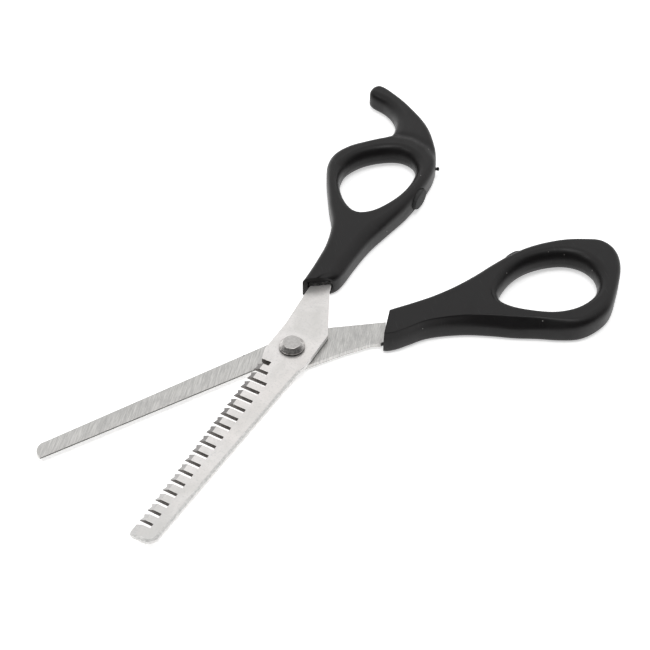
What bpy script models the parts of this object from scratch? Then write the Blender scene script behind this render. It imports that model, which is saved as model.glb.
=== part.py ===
"""Thinning shears: a toothed blade and a plain blade on one rivet, with moulded handles glued to their tangs.

The pivot axis is the Z axis. The shears rest on z = 0 with the blade tips towards -Y and the handles
towards +Y, opened by 30 degrees. Each side is drawn closed, along the Y axis, and an empty on the pivot
turns it to its place. Lengths are in millimetres here, and MM turns them into metres.
"""

import math

import bmesh
import bpy
from mathutils import Matrix, Vector

MM = 0.001

# Opening of the shears
SIDE_ANGLE = math.radians(15.0)      # each side is turned this far from closed
CLOSING_ANGLE = math.radians(28.5)   # the bumpers meet after closing this far

# Levels above the table
HANDLE_TOP = 7.6
BLADE_THICKNESS = 1.5
GAP = 0.3                            # between pieces that touch
CUTTING_BOTTOM = 0.9
CUTTING_TOP = CUTTING_BOTTOM + BLADE_THICKNESS
THINNING_BOTTOM = CUTTING_TOP + GAP
THINNING_TOP = THINNING_BOTTOM + BLADE_THICKNESS

# Pivot
SHANK_RADIUS = 2.2
BORE_RADIUS = 2.3
TAIL_RADIUS = 2.9
TAIL_TOP = 0.6
HEAD_RADIUS = 3.75
HEAD_TOP_RADIUS = 2.55
WASHER_RADIUS = 3.7
WASHER_THICKNESS = 0.25
WASHER_CLEARANCE = 0.15
HEAD_BOTTOM = THINNING_TOP + WASHER_THICKNESS + 2 * WASHER_CLEARANCE
HEAD_EDGE = 0.25
HEAD_HEIGHT = 1.65

# Teeth of the thinning blade
SLOT_COUNT = 18
SLOT_PITCH = 3.78
SLOT_WIDTH = 1.5
FIRST_SLOT = -8.65
SLOT_TILT = math.radians(1.3)        # the slots run square to the line of their roots
SHORT_ROOTS = (-2.3, -1.0)           # the first two slots are cut short
FIRST_MOUTH = -5.4                   # X where the first slot starts, as the blade is narrower there
ROOT_START = 0.75                    # X of the third slot's root, and of the last one's
ROOT_END = -0.5
TOOTH_START = -6.0                   # X of the teeth's ends at the first slot and at the last
TOOTH_END = -4.9
NOTCH_DEPTH = 0.65
TOOTH_BEVEL = 2.0                    # width of the ground face at the teeth's ends
TOOTH_LAND = 0.35                    # thickness left at the edge
EDGE_BEVEL = 1.6                     # the plain blade's ground face, underneath
EDGE_LAND = 0.4
SPINE_CHAMFER = 0.7                  # width of the chamfer round the thinning blade's tip and spine
SPINE_DROP = 0.5                     # and its depth

# Handles
EDGE_RADIUS = 1.6                    # rounding of the outer rim
HOLE_RADIUS = 3.0                    # rounding into the finger hole
REST_BOTTOM = 0.4
REST_TOP = 7.2
REST_RADIUS = 1.8
MOUTH_SLOPE = {"finger": 34.9, "thumb": -42.8}   # degrees from the X axis to each handle's end face
MOUTH_POINT = {"finger": (-9.3, 23.2), "thumb": (4.63, 30.27)}
RESIN_DEPTH = 2.6

# Bumpers
BUMPER_RADIUS_ALONG = 4.0
BUMPER_RADIUS_UP = 2.8
BUMPER_THICKNESS = 2.0
BUMPER_Y = 76.2
BUMPER_FACE = {"finger": 4.25, "thumb": 2.42}    # X of the faces that meet
BUMPER_Z = HANDLE_TOP / 2


# Materials ---------------------------------------------------------------------------------------

def material(name, colour, roughness, metallic):
    """A Principled material with one colour, roughness and metallic value."""
    made = bpy.data.materials.new(name)
    made.use_nodes = True
    shader = made.node_tree.nodes["Principled BSDF"]
    shader.inputs["Base Color"].default_value = (*colour, 1.0)
    shader.inputs["Roughness"].default_value = roughness
    shader.inputs["Metallic"].default_value = metallic
    return made


# Outlines ----------------------------------------------------------------------------------------

def smooth_loop(points, count):
    """A closed Catmull-Rom curve through the points, read at equal steps of length."""
    fine = []
    total = len(points)
    for i in range(total):
        before, start, end, after = (Vector(points[(i + k) % total]) for k in (-1, 0, 1, 2))
        for step in range(12):
            t = step / 12
            fine.append(
                0.5 * (2 * start + (end - before) * t
                       + (2 * before - 5 * start + 4 * end - after) * t ** 2
                       + (3 * start - before - 3 * end + after) * t ** 3)
            )
    lengths = [0.0]
    for i in range(len(fine)):
        lengths.append(lengths[-1] + (fine[(i + 1) % len(fine)] - fine[i]).length)
    loop = []
    place = 0
    for n in range(count):
        target = lengths[-1] * n / count
        while lengths[place + 1] < target:
            place += 1
        share = (target - lengths[place]) / (lengths[place + 1] - lengths[place])
        loop.append(fine[place].lerp(fine[(place + 1) % len(fine)], share))
    return loop


def moved_inwards(loop, distance):
    """Each point of a counter-clockwise loop moved towards its inside by the distance."""
    moved = []
    for i, point in enumerate(loop):
        along = (loop[(i + 1) % len(loop)] - loop[i - 1]).normalized()
        moved.append(point + Vector((-along.y, along.x)) * distance)
    return moved


def arc(centre, radius, start, end, steps):
    """Points on an arc, with the angles in degrees."""
    points = []
    for n in range(steps + 1):
        angle = math.radians(start + (end - start) * n / steps)
        points.append((centre[0] + radius * math.cos(angle), centre[1] + radius * math.sin(angle)))
    return points


# Solids ------------------------------------------------------------------------------------------

def finish(name, bm, side=None, look=None):
    """Turns a bmesh drawn in millimetres into a named object under a side's empty."""
    bmesh.ops.scale(bm, vec=(MM, MM, MM), verts=bm.verts)
    bmesh.ops.recalc_face_normals(bm, faces=bm.faces)
    mesh = bpy.data.meshes.new(name)
    bm.to_mesh(mesh)
    bm.free()
    made = bpy.data.objects.new(name, mesh)
    bpy.context.scene.collection.objects.link(made)
    made.parent = side
    if look:
        mesh.materials.append(look)
    return made


def prism(name, outline, bottom, top, side=None, look=None):
    """A flat outline extruded from one height to another."""
    bm = bmesh.new()
    face = bm.faces.new([bm.verts.new((x, y, bottom)) for x, y in outline])
    grown = bmesh.ops.extrude_face_region(bm, geom=[face])
    lifted = [part for part in grown["geom"] if isinstance(part, bmesh.types.BMVert)]
    bmesh.ops.translate(bm, vec=(0, 0, top - bottom), verts=lifted)
    return finish(name, bm, side, look)


def turned(name, profile, steps, side=None, look=None):
    """A profile of (radius, height) points, closed or from axis to axis, spun about Z."""
    bm = bmesh.new()
    closed = profile[0][0] > 0
    corners = [bm.verts.new((radius, 0, height)) for radius, height in profile]
    pairs = list(zip(corners, corners[1:]))
    if closed:
        pairs.append((corners[-1], corners[0]))
    edges = [bm.edges.new(pair) for pair in pairs]
    bmesh.ops.spin(
        bm, geom=corners + edges, cent=(0, 0, 0), axis=(0, 0, 1), angle=math.tau, steps=steps,
        use_merge=True,
    )
    bmesh.ops.remove_doubles(bm, verts=bm.verts, dist=0.001)
    made = finish(name, bm, side, look)
    made.data.shade_smooth()
    made.data.set_sharp_from_angle(angle=math.radians(35))
    return made


def ring_of_faces(bm, lower, upper):
    """Quads between two loops of vertices with equal counts."""
    for i in range(len(lower)):
        j = (i + 1) % len(lower)
        bm.faces.new((lower[i], lower[j], upper[j], upper[i]))


def rounded_wall(bm, loop, bottom, top, radius, inwards, steps):
    """A vertical wall along a loop whose two rims are rounded towards the material.

    inwards is 1 where the material is inside the loop and -1 where it surrounds it. Returns the
    edges of the lowest and the highest loop.
    """
    quarter = [math.pi / 2 * n / steps for n in range(steps + 1)]
    profile = [(radius * (1 - math.sin(a)), bottom + radius * (1 - math.cos(a))) for a in quarter]
    profile += [(inset, bottom + top - height) for inset, height in reversed(profile)]
    loops = []
    for inset, height in profile:
        flat = moved_inwards(loop, inset * inwards)
        loops.append([bm.verts.new((point.x, point.y, height)) for point in flat])
    for lower, upper in zip(loops, loops[1:]):
        ring_of_faces(bm, lower, upper)
    rims = []
    for row in (loops[0], loops[-1]):
        rims.append([bm.edges.get((row[i], row[(i + 1) % len(row)])) for i in range(len(row))])
    return rims


def moulded_slab(name, outer, hole, bottom, top, radius, side, look=None):
    """A flat moulding with rounded rims, and a finger hole with a wider rounding if there is one."""
    bm = bmesh.new()
    low, high = rounded_wall(bm, outer, bottom, top, radius, 1, 3)
    if hole:
        hole_low, hole_high = rounded_wall(bm, hole, bottom, top, HOLE_RADIUS, -1, 4)
        low += hole_low
        high += hole_high
    bmesh.ops.triangle_fill(bm, use_beauty=True, edges=low)
    bmesh.ops.triangle_fill(bm, use_beauty=True, edges=high)
    made = finish(name, bm, side, look)
    made.data.shade_smooth()
    made.data.set_sharp_from_angle(angle=math.radians(30))
    return made


def change(target, tool, operation):
    """Adds or takes away a tool's shape with a Boolean modifier, and hides the tool."""
    modifier = target.modifiers.new(tool.name, "BOOLEAN")
    modifier.operation = operation
    modifier.solver = "EXACT"
    modifier.object = tool
    tool.hide_render = True
    tool.display_type = "WIRE"


def cut(target, tool):
    change(target, tool, "DIFFERENCE")


def join(target, tool):
    change(target, tool, "UNION")


# Blades ------------------------------------------------------------------------------------------

def slot_root(index):
    """X of a slot's closed end."""
    if index < len(SHORT_ROOTS):
        return SHORT_ROOTS[index]
    share = (index - len(SHORT_ROOTS)) / (SLOT_COUNT - 1 - len(SHORT_ROOTS))
    return ROOT_START + (ROOT_END - ROOT_START) * share


def tooth_end(y):
    """X of the line through the teeth's ends."""
    last = FIRST_SLOT - SLOT_PITCH * (SLOT_COUNT - 1)
    share = (y - FIRST_SLOT) / (last - FIRST_SLOT)
    return TOOTH_START + (TOOTH_END - TOOTH_START) * share


def comb_outline():
    """The toothed edge from the pivot to the tip: slots, with a notch in each tooth between them."""
    points = []
    half = SLOT_WIDTH / 2
    for index in range(SLOT_COUNT):
        middle = FIRST_SLOT - SLOT_PITCH * index
        root = slot_root(index)
        for y in (middle + half, middle - half):
            mouth = (FIRST_MOUTH if not points else tooth_end(y), y)
            inner = (root, y - (root - mouth[0]) * math.tan(SLOT_TILT))
            points += [mouth, inner] if y > middle else [inner, mouth]
        if index < SLOT_COUNT - 1:
            centre = middle - SLOT_PITCH / 2
            points.append((tooth_end(centre) + NOTCH_DEPTH, centre))
    return points


def thinning_blade(side, look):
    outline = [(-6.4, 8.0), (-6.6, -4.2)]
    outline += comb_outline()
    spine = [(-5.0, -76.4), (-4.3, -77.5), (-0.5, -77.8)] + arc((-0.3, -74.7), 3.1, -80, -8, 6)
    spine += [(6.4, -8.0)]
    outline += spine + [(6.8, -5.0), (6.8, 9.2), (5.2, 12.2), (0.0, 22.5), (-2.0, 26.6)]
    outline += [(-3.0, 30.0), (-3.4, 42.0), (-6.8, 42.0), (-7.6, 23.5)]
    blade = prism("thinning_blade", outline, THINNING_BOTTOM, THINNING_TOP, side, look)
    cut(blade, bore("thinning_blade_bore", THINNING_BOTTOM, side))
    cut(blade, spine_wheel(spine[1:], side))
    # The ground face at the teeth's ends, as a wedge along their line.
    bm = bmesh.new()
    ends = []
    for y in (FIRST_SLOT, -78.0):
        edge = tooth_end(y)
        section = [
            (edge + TOOTH_BEVEL, THINNING_TOP),
            (edge + TOOTH_BEVEL, THINNING_TOP + 1),
            (edge - 1, THINNING_TOP + 1),
            (edge - 1, THINNING_BOTTOM + TOOTH_LAND),
            (edge, THINNING_BOTTOM + TOOTH_LAND),
        ]
        ends.append([bm.verts.new((x, y, z)) for x, z in section])
    ring_of_faces(bm, ends[0], ends[1])
    bm.faces.new(ends[0])
    bm.faces.new(ends[1][::-1])
    cut(blade, finish("tooth_bevel_wheel", bm, side))
    return blade


def spine_wheel(path, side):
    """A bar with a slanted underside along a path of plan points, which chamfers the blade's top edge there."""
    loops = []
    bm = bmesh.new()
    for i, point in enumerate(path):
        before, after = Vector(path[max(i - 1, 0)]), Vector(path[min(i + 1, len(path) - 1)])
        along = (after - before).normalized()
        outward = Vector((along.y, -along.x))
        inner = Vector(point) - outward * SPINE_CHAMFER
        outer = Vector(point) + outward * SPINE_CHAMFER
        section = [(*inner, 0), (*outer, -2 * SPINE_DROP), (*outer, 1), (*inner, 1)]
        loops.append([bm.verts.new((x, y, THINNING_TOP + up)) for x, y, up in section])
    for lower, upper in zip(loops, loops[1:]):
        ring_of_faces(bm, lower, upper)
    bm.faces.new(loops[0])
    bm.faces.new(loops[-1][::-1])
    return finish("spine_chamfer_wheel", bm, side)


def cutting_blade(side, look):
    edge_start = (0.5, -12.5)
    edge_end = (-1.5, -78.0)
    outline = [(-6.1, -74.4)]
    outline += arc((-2.9, -74.8), 3.3, 190, 262, 5)
    outline += [edge_end, edge_start, (1.4, -11.0), (6.6, -6.0), (7.0, 1.0), (7.3, 5.0), (8.0, 12.8)]
    outline += [(9.3, 20.8), (10.5, 23.5), (10.7, 28.0), (10.3, 46.0), (6.4, 46.0), (5.8, 32.0)]
    outline += [(5.5, 28.2), (4.1, 29.45), (-2.7, 14.0), (-5.9, 7.0), (-6.1, 4.0)]
    blade = prism("cutting_blade", outline, CUTTING_BOTTOM, CUTTING_TOP, side, look)
    cut(blade, bore("cutting_blade_bore", CUTTING_BOTTOM, side))
    # The ground face under the cutting edge.
    bm = bmesh.new()
    ends = []
    for x, y in ((edge_start[0], edge_start[1] + 1.0), (edge_end[0], edge_end[1] - 1.0)):
        section = [
            (x - EDGE_BEVEL, CUTTING_BOTTOM),
            (x, CUTTING_TOP - EDGE_LAND),
            (x + 2, CUTTING_TOP - EDGE_LAND),
            (x + 2, CUTTING_BOTTOM - 1),
            (x - EDGE_BEVEL, CUTTING_BOTTOM - 1),
        ]
        ends.append([bm.verts.new((px, y, pz)) for px, pz in section])
    ring_of_faces(bm, ends[0], ends[1])
    bm.faces.new(ends[0])
    bm.faces.new(ends[1][::-1])
    cut(blade, finish("cutting_edge_wheel", bm, side))
    return blade


def bore(name, bottom, side):
    """A drill for the pivot hole through one blade."""
    circle = arc((0, 0), BORE_RADIUS, 0, 360, 40)[:-1]
    return prism(name, circle, bottom - 0.5, bottom + BLADE_THICKNESS + 0.5, side)


# Pivot -------------------------------------------------------------------------------------------

def pivot_rivet(side, look):
    """Tail, shank and coned head in one turned piece."""
    top = HEAD_BOTTOM + HEAD_HEIGHT
    profile = [
        (0, 0), (TAIL_RADIUS - 0.2, 0), (TAIL_RADIUS, 0.2), (TAIL_RADIUS, TAIL_TOP),
        (SHANK_RADIUS, TAIL_TOP), (SHANK_RADIUS, HEAD_BOTTOM), (HEAD_RADIUS, HEAD_BOTTOM),
        (HEAD_RADIUS, HEAD_BOTTOM + HEAD_EDGE), (HEAD_TOP_RADIUS, top - 0.1),
        (HEAD_TOP_RADIUS - 0.15, top), (0, top),
    ]
    return turned("pivot_rivet", profile, 40, side, look)


def rivet_washer(side, look):
    bottom = THINNING_TOP + WASHER_CLEARANCE
    inner = SHANK_RADIUS + WASHER_CLEARANCE
    top = bottom + WASHER_THICKNESS
    profile = [(inner, bottom), (WASHER_RADIUS, bottom), (WASHER_RADIUS, top), (inner, top)]
    return turned("rivet_washer", profile, 40, side, look)


# Handles -----------------------------------------------------------------------------------------

def mouth_frame(which):
    """The end face's start point, the unit vector along it, and the one out of it to the blade."""
    slope = math.radians(MOUTH_SLOPE[which])
    return Vector(MOUTH_POINT[which]), Vector((math.cos(slope), math.sin(slope))), \
        Vector((math.sin(slope), -math.cos(slope)))


def beside_mouth(which, corners):
    """Plan points from (distance along the end face, distance out of it) pairs."""
    start, along, out = mouth_frame(which)
    return [tuple(start + along * a + out * b) for a, b in corners]


def cut_mouth(handle, which, side):
    """Saws the handle off at its end face."""
    block = beside_mouth(which, [(-15, 0), (-15, 14), (28, 14), (28, 0)])
    cut(handle, prism(which + "_mouth_saw", block, -1, HANDLE_TOP + 1, side))


def resin_block(which, tang_top, first, last, height, side, look):
    """The adhesive that fills the socket above the tang, and the pocket it sits in."""
    name = which + "_tang_resin"
    block = beside_mouth(which, [(first, -RESIN_DEPTH), (last, -RESIN_DEPTH), (last, -0.2), (first, -0.2)])
    made = prism(name, block, tang_top + GAP, tang_top + GAP + height, side, look)
    grown = [(first - GAP, -RESIN_DEPTH - GAP), (last + GAP, -RESIN_DEPTH - GAP),
             (last + GAP, 1.0), (first - GAP, 1.0)]
    pocket = prism(which + "_resin_pocket", beside_mouth(which, grown), tang_top,
                   tang_top + 2 * GAP + height, side)
    return made, pocket


def bumper(which, side, look):
    """An oval stop let into the handle's inner side, and the tool that cuts its seat."""
    sign = 1 if which == "finger" else -1
    tilt = (SIDE_ANGLE - CLOSING_ANGLE / 2) * -sign
    made = []
    for name, grow, depth in ((which + "_bumper", 0.0, BUMPER_THICKNESS),
                              (which + "_bumper_seat", GAP, BUMPER_THICKNESS + GAP)):
        bm = bmesh.new()
        rims = []
        for x, inset in ((-depth, 0.0), (-0.3 if not grow else 1.0, 0.0), (0.0, 0.3)):
            if grow and inset:
                continue
            rims.append([])
            for n in range(32):
                angle = math.tau * n / 32
                along = (BUMPER_RADIUS_ALONG + grow - inset) * math.cos(angle)
                up = (BUMPER_RADIUS_UP + grow - inset) * math.sin(angle)
                rims[-1].append(bm.verts.new((x * sign, along, up)))
        for lower, upper in zip(rims, rims[1:]):
            ring_of_faces(bm, lower, upper)
        bm.faces.new(rims[0])
        bm.faces.new(rims[-1][::-1])
        place = Matrix.Translation((BUMPER_FACE[which], BUMPER_Y, BUMPER_Z)) @ Matrix.Rotation(tilt, 4, "Z")
        bmesh.ops.transform(bm, matrix=place, verts=bm.verts)
        made.append(finish(name, bm, side, None if grow else look))
    return made


def finger_handle(side, look, pocket, seat):
    """The handle of the toothed blade, whose loop carries a curved rest for the little finger."""
    outer = smooth_loop([
        (-0.6, 33.0), (-0.7, 41.0), (-0.3, 50.0), (1.4, 60.0), (2.8, 68.0), (3.3, 76.0), (3.2, 83.0),
        (2.2, 89.0), (-0.5, 93.6), (-5.0, 96.8), (-10.5, 98.0), (-16.5, 96.6), (-22.0, 92.8),
        (-27.0, 87.2), (-29.4, 82.0), (-29.4, 77.0), (-27.1, 71.2), (-20.1, 59.7), (-14.4, 51.0),
        (-11.3, 42.0), (-10.1, 34.0), (-9.4, 26.0), (-9.0, 18.0), (-6.5, 19.5), (-3.4, 26.0), (-1.2, 29.3),
    ], 96)
    hole = smooth_loop([
        (-9.8, 59.1), (-6.2, 61.6), (-3.6, 66.6), (-1.9, 72.5), (-1.6, 79.0), (-2.8, 86.0),
        (-6.0, 90.4), (-11.0, 91.6), (-16.5, 88.6), (-20.9, 83.5), (-23.0, 77.0), (-21.9, 70.4),
        (-18.2, 64.8), (-14.0, 60.8),
    ], 56)
    handle = moulded_slab("finger_handle", outer, hole, 0, HANDLE_TOP, EDGE_RADIUS, side, look)
    rest = smooth_loop([
        (1.2, 84.5), (2.6, 88.5), (1.4, 92.8), (-2.5, 99.8), (-9.5, 108.3), (-19.5, 115.2),
        (-27.2, 119.0), (-32.2, 120.5), (-34.4, 119.0), (-34.5, 116.1), (-32.8, 114.3), (-27.4, 112.8),
        (-22.9, 110.0), (-20.0, 106.5), (-18.4, 102.3), (-18.0, 98.5), (-17.6, 94.8), (-12.0, 94.9),
        (-6.0, 93.9), (-1.4, 90.6), (-0.2, 86.0),
    ], 64)
    join(handle, moulded_slab("finger_rest", rest, None, REST_BOTTOM, REST_TOP, REST_RADIUS, side))
    nub = prism("moulding_gate", arc((1.9, 92.6), 0.6, 0, 360, 8)[:-1], 3.2, 4.3, side)
    join(handle, nub)
    cut_mouth(handle, "finger", side)
    socket = [(-7.9, 20.0), (-1.7, 20.0), (-1.7, 26.7), (-2.7, 30.0), (-3.1, 42.3), (-7.1, 42.3), (-7.9, 23.5)]
    cut(handle, prism("finger_socket", socket, THINNING_BOTTOM - GAP, THINNING_TOP + GAP, side))
    cut(handle, pocket)
    cut(handle, seat)
    return handle


def thumb_handle(side, look, pocket, seat):
    """The handle of the plain blade, with the larger loop."""
    outer = smooth_loop([
        (14.4, 31.0), (14.9, 36.0), (16.7, 41.2), (19.9, 47.4), (24.1, 53.3), (28.1, 58.3),
        (32.0, 64.0), (35.8, 69.1), (38.4, 74.1), (38.7, 79.8), (36.8, 86.2), (31.9, 92.5),
        (26.0, 98.7), (20.9, 102.1), (16.4, 103.1), (12.4, 101.9), (9.5, 98.3), (6.6, 93.2),
        (4.6, 87.4), (3.4, 81.0), (3.3, 74.5), (4.1, 67.0), (5.2, 60.0), (5.9, 52.0), (5.8, 44.5),
        (5.0, 37.5), (4.1, 31.5), (3.6, 26.5), (5.6, 23.8), (9.6, 21.6), (12.6, 23.4), (13.9, 26.6),
    ], 96)
    hole = smooth_loop([
        (18.0, 60.9), (21.8, 62.6), (25.9, 66.4), (29.4, 71.0), (31.2, 75.8), (31.4, 80.6),
        (29.8, 85.8), (26.2, 90.0), (21.4, 92.2), (16.4, 91.8), (12.4, 88.8), (9.9, 83.8), (8.8, 77.6),
        (9.6, 71.4), (12.0, 65.6), (14.8, 62.0),
    ], 56)
    handle = moulded_slab("thumb_handle", outer, hole, 0, HANDLE_TOP, EDGE_RADIUS, side, look)
    cut_mouth(handle, "thumb", side)
    socket = [(5.1, 22.0), (11.0, 20.0), (11.0, 28.0), (10.6, 46.3), (6.1, 46.3), (5.4, 32.0)]
    cut(handle, prism("thumb_socket", socket, CUTTING_BOTTOM - GAP, CUTTING_TOP + GAP, side))
    cut(handle, pocket)
    cut(handle, seat)
    return handle


# Assembly ----------------------------------------------------------------------------------------

def side_empty(name, angle):
    """An empty on the pivot that opens one side."""
    empty = bpy.data.objects.new(name, None)
    bpy.context.scene.collection.objects.link(empty)
    empty.rotation_euler = (0, 0, angle)
    return empty


def build():
    for old in list(bpy.data.objects):
        bpy.data.objects.remove(old, do_unlink=True)

    polished = material("polished_steel", (0.80, 0.79, 0.77), 0.28, 1.0)
    ground = material("ground_steel", (0.68, 0.68, 0.66), 0.38, 1.0)
    rivet_steel = material("rivet_steel", (0.60, 0.59, 0.58), 0.35, 1.0)
    washer_steel = material("washer_steel", (0.16, 0.16, 0.16), 0.45, 1.0)
    plastic = material("black_plastic", (0.022, 0.021, 0.021), 0.45, 0.0)
    thumb_plastic = material("thumb_black_plastic", (0.020, 0.020, 0.020), 0.45, 0.0)
    rubber = material("bumper_rubber", (0.05, 0.05, 0.05), 0.6, 0.0)
    resin = material("black_resin", (0.010, 0.010, 0.010), 0.15, 0.0)

    thinning = side_empty("thinning_side", SIDE_ANGLE)
    cutting = side_empty("cutting_side", -SIDE_ANGLE)

    thinning_blade(thinning, polished)
    cutting_blade(cutting, ground)
    pivot_rivet(cutting, rivet_steel)
    rivet_washer(cutting, washer_steel)

    _, finger_pocket = resin_block("finger", THINNING_TOP, 3.0, 8.2, 1.6, thinning, resin)
    _, finger_seat = bumper("finger", thinning, rubber)
    finger_handle(thinning, plastic, finger_pocket, finger_seat)

    _, thumb_pocket = resin_block("thumb", CUTTING_TOP, 2.2, 7.6, 1.8, cutting, resin)
    _, thumb_seat = bumper("thumb", cutting, rubber)
    thumb_handle(cutting, thumb_plastic, thumb_pocket, thumb_seat)


build()
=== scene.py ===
"""Thinning shears lying open on a pale table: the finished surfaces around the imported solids.

Each side is drawn closed, along +Y, in millimetres, and `settle` turns it about the pivot by 15 degrees and
scales it to metres. The handles, stops, adhesive and rivet are grids of points worked out with numpy from
two parameters, one round the piece and one across it. The blades are plates raised from their outlines.
"""

import math

import bmesh
import bpy
import numpy as np
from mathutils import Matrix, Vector


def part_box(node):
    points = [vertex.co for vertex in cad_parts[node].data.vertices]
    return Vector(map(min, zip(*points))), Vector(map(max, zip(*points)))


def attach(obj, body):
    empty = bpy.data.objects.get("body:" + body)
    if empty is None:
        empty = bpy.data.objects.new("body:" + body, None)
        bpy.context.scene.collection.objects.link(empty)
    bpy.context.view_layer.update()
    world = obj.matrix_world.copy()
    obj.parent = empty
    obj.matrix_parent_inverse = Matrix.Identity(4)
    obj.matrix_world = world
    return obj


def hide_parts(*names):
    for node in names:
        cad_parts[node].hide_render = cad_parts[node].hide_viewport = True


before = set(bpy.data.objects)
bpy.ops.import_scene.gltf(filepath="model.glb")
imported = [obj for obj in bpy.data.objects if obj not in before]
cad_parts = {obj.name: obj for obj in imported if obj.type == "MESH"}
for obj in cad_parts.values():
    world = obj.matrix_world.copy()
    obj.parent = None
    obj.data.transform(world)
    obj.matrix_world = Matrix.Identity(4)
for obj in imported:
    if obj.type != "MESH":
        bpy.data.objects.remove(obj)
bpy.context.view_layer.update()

MM = 0.001
SIDE_ANGLE = math.radians(15.0)
SIDES = {"thinning_side": 1, "cutting_side": -1}      # which way each side is turned from closed

# Levels above the table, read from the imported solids
HANDLE_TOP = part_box("thumb_handle")[1].z / MM
THINNING_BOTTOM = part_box("thinning_blade")[0].z / MM
THINNING_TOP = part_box("thinning_blade")[1].z / MM
CUTTING_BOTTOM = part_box("cutting_blade")[0].z / MM
CUTTING_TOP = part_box("cutting_blade")[1].z / MM
HEAD_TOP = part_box("pivot_rivet")[1].z / MM
WASHER_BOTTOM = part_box("rivet_washer")[0].z / MM
WASHER_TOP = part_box("rivet_washer")[1].z / MM


# Curves ------------------------------------------------------------------------------------------

def through(points, places, closed=True):
    """Catmull-Rom curve through the points: at place i + t it mixes the four points round span i by the
    cubic weights in t, and a closed curve counts its points round and round."""
    points = np.asarray(points, float)
    places = np.asarray(places, float)
    total = len(points)
    if closed:
        span = np.floor(places).astype(int)
        around = [points[(span + k) % total] for k in (-1, 0, 1, 2)]
    else:
        span = np.clip(np.floor(places).astype(int), 0, total - 2)
        padded = np.vstack([2 * points[0] - points[1], points, 2 * points[-1] - points[-2]])
        around = [padded[span + k + 1] for k in (-1, 0, 1, 2)]
    t = (places - span)[:, None]
    before, start, end, after = around
    return 0.5 * (2 * start + (end - before) * t + (2 * before - 5 * start + 4 * end - after) * t ** 2
                  + (3 * start - before - 3 * end + after) * t ** 3)


def inward(points, places):
    """Unit normals to the left of the closed curve through the points, from its slope close by."""
    step = 0.02
    along = through(points, places + step) - through(points, places - step)
    along = along / np.linalg.norm(along, axis=1, keepdims=True)
    return np.stack([-along[:, 1], along[:, 0]], 1)


def arc(centre, radius, start, end, steps):
    """Points on an arc, with the angles in degrees."""
    angles = np.radians(np.linspace(start, end, steps + 1))
    return list(zip(centre[0] + radius * np.cos(angles), centre[1] + radius * np.sin(angles)))


def eased(values, low, high):
    """0 below low and 1 above high, with the smooth cubic between."""
    t = np.clip((np.asarray(values, float) - low) / (high - low), 0, 1)
    return t * t * (3 - 2 * t)


def beyond(points, line):
    """Distance of each point from a line of points, positive on the line's right."""
    line = np.asarray(line, float)
    start, step = line[:-1], np.diff(line, axis=0)
    offset = points[..., None, :] - start
    share = np.clip((offset * step).sum(-1) / (step * step).sum(-1), 0, 1)
    gap = offset - share[..., None] * step
    distance = np.linalg.norm(gap, axis=-1)
    turn = step[..., 1] * gap[..., 0] - step[..., 0] * gap[..., 1]
    nearest = distance.argmin(-1)[..., None]
    return np.take_along_axis(np.sign(turn) * distance, nearest, -1)[..., 0]


def apart(points, line):
    """Distance of each point from the nearest point of a closely spaced line."""
    return np.linalg.norm(points[:, None] - line[None], axis=-1).min(1)


def ripple(points, size, seed):
    """Smooth bumps from -1 to 1: the mean of five sine waves, each in its own direction."""
    random = np.random.default_rng(seed)
    total = np.zeros(points.shape[:-1])
    for _ in range(5):
        direction = random.normal(size=points.shape[-1])
        direction *= 2 * math.pi / (size * np.linalg.norm(direction))
        total += np.sin(points @ direction + random.uniform(0, 2 * math.pi))
    return total / 5


# Meshes ------------------------------------------------------------------------------------------

def settle(points, side):
    """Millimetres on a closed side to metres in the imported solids' frame."""
    turn = SIDE_ANGLE * SIDES[side]
    c, s = math.cos(turn), math.sin(turn)
    return points @ np.array([[c, s, 0], [-s, c, 0], [0, 0, 1]]) * MM


def grid_faces(rows, columns, closed_columns, closed_rows=False, first=0):
    """Corner numbers of the quads between neighbouring rows and columns."""
    row = np.arange(rows if closed_rows else rows - 1)[:, None]
    column = np.arange(columns if closed_columns else columns - 1)[None, :]
    next_row = (row + 1) % rows
    next_column = (column + 1) % columns
    corners = [row * columns + column, row * columns + next_column,
               next_row * columns + next_column, next_row * columns + column]
    return np.stack(np.broadcast_arrays(*corners), -1).reshape(-1, 4) + first


def placed(name, data):
    """A new object in the scene."""
    made = bpy.data.objects.new(name, data)
    bpy.context.scene.collection.objects.link(made)
    return made


def mesh_piece(name, points, faces, side):
    """An object from points in millimetres, with coinciding points welded and the faces turned outwards."""
    weld = 0.004 * MM
    mesh = bpy.data.meshes.new(name)
    mesh.from_pydata(settle(points, side).tolist(), [], faces)
    bm = bmesh.new()
    bm.from_mesh(mesh)
    bmesh.ops.remove_doubles(bm, verts=bm.verts, dist=weld)
    bmesh.ops.dissolve_degenerate(bm, edges=bm.edges, dist=weld / 4)
    bmesh.ops.recalc_face_normals(bm, faces=bm.faces)
    bm.to_mesh(mesh)
    bm.free()
    return placed(name, mesh)


def shade(piece, sharpest):
    """Smooth shading with edges over the angle, in degrees, kept sharp."""
    piece.data.shade_smooth()
    piece.data.set_sharp_from_angle(angle=math.radians(sharpest))


def soften_edges(piece, width):
    """A narrow round on the sharp edges."""
    bevel = piece.modifiers.new("rounded_edges", "BEVEL")
    bevel.width = width * MM
    bevel.segments = 2
    bevel.limit_method = "ANGLE"
    bevel.angle_limit = math.radians(20)
    bevel.harden_normals = True


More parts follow.
